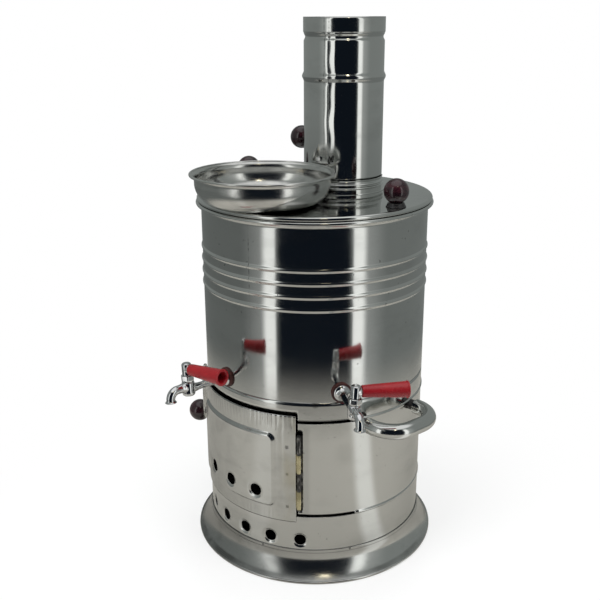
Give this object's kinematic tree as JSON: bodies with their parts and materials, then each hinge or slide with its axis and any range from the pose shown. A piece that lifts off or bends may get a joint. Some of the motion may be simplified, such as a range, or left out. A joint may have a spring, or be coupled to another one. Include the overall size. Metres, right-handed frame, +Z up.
{
  "type": "samovar",
  "caption": "Wood-fired camping samovar: round steel firebox with hinged door, water tank with lever taps, loop handles, lid, chimney and warming dish.",
  "frame": {"origin": "on the barrel's axis, at the floor that the foot stands on", "axes": "+Z up along the barrel; -Y points out through the middle of the firebox door, so the front tap is on -Y; +X is the right handle"},
  "size_m": [0.3447, 0.3309, 0.5681],
  "materials": {
    "polished_steel": "mirror-polished stainless sheet with faint drawing lines",
    "satin_steel": "satin spun stainless",
    "plain_steel": "plain mill finish",
    "handle_steel": "polished tube",
    "chrome": "bright plating over cast metal",
    "red_plastic": "glossy moulded",
    "maroon_knob": "glossy moulded",
    "black_plastic": "dull black",
    "brown_rubber": "dull fibre and rubber",
    "black_rubber": "dull",
    "hinge_brass": "pale plated",
    "dark_steel": "darkened",
    "grate_iron": "rough cast, sooty"
  },
  "bodies": {
    "samovar": {"foot": "polished_steel", "base_plate": "plain_steel", "firebox_shell": "polished_steel", "door_stop": "plain_steel", "hinge_leaf_fixed": "polished_steel", "hinge_pin": "dark_steel", "latch_pivot": "chrome", "latch_spacer": "polished_steel", "grate_ring": "plain_steel", "grate": "grate_iron", "tank_floor": "polished_steel", "tank_shell": "polished_steel", "flue_flange": "polished_steel", "flue_tube": "polished_steel", "handle_right": "handle_steel", "handle_left": "handle_steel", "handle_collars": "black_plastic", "handle_washers": "polished_steel", "handle_bolts": "chrome", "gasket_front": "brown_rubber", "tap_front": "chrome", "gland_front": "chrome", "inner_washer_front": "black_rubber", "inner_nut_front": "chrome", "gasket_side": "brown_rubber", "tap_side": "chrome", "gland_side": "chrome", "inner_washer_side": "black_rubber", "inner_nut_side": "chrome"},
    "door": {"door": "polished_steel", "hinge_leaf_door": "hinge_brass"},
    "latch": {"latch_arm": "polished_steel", "latch_knob": "maroon_knob", "latch_screw": "chrome"},
    "front_tap_key": {"plug_front": "chrome", "lever_front": "red_plastic"},
    "side_tap_key": {"plug_side": "chrome", "lever_side": "red_plastic"},
    "lid": {"lid": "polished_steel", "lid_collar": "polished_steel", "lid_knob_right": "maroon_knob", "lid_knob_left": "maroon_knob", "lid_ferrules": "black_plastic", "lid_screws": "chrome"},
    "chimney": {"chimney_pipe": "polished_steel", "chimney_knob": "maroon_knob", "chimney_ferrule": "black_plastic", "chimney_screw": "chrome", "pipe_hook": "polished_steel", "pipe_rivet": "chrome"},
    "dish": {"dish": "satin_steel"}
  },
  "joints": [
    {"name": "door_hinge", "type": "hinge", "parent": "samovar", "child": "door", "pos_m": [0.08073, -0.09093, 0.122], "axis": [0, 0, 1], "range_deg": [0, 120]},
    {"name": "latch_turn", "type": "hinge", "parent": "samovar", "child": "latch", "pos_m": [-0.09805, -0.08228, 0.177], "axis": [-0.766, -0.6428, 0], "range_deg": [0, 90]},
    {"name": "front_tap_turn", "type": "hinge", "parent": "samovar", "child": "front_tap_key", "pos_m": [0, -0.1675, 0.2125], "axis": [0.0872, 0, -0.9962], "range_deg": [0, 90]},
    {"name": "side_tap_turn", "type": "hinge", "parent": "samovar", "child": "side_tap_key", "pos_m": [0.14789, -0.07864, 0.2125], "axis": [-0.0246, -0.0462, -0.9986], "range_deg": [0, 90]},
    {"name": "lid_lift", "type": "slide", "parent": "samovar", "child": "lid", "axis": [0, 0, 1], "range_m": [0, 0.06]},
    {"name": "chimney_lift", "type": "slide", "parent": "lid", "child": "chimney", "axis": [0, 0, 1], "range_m": [0, 0.05]},
    {"name": "dish_lift", "type": "slide", "parent": "lid", "child": "dish", "axis": [0, 0, 1], "range_m": [0, 0.06]}
  ]
}
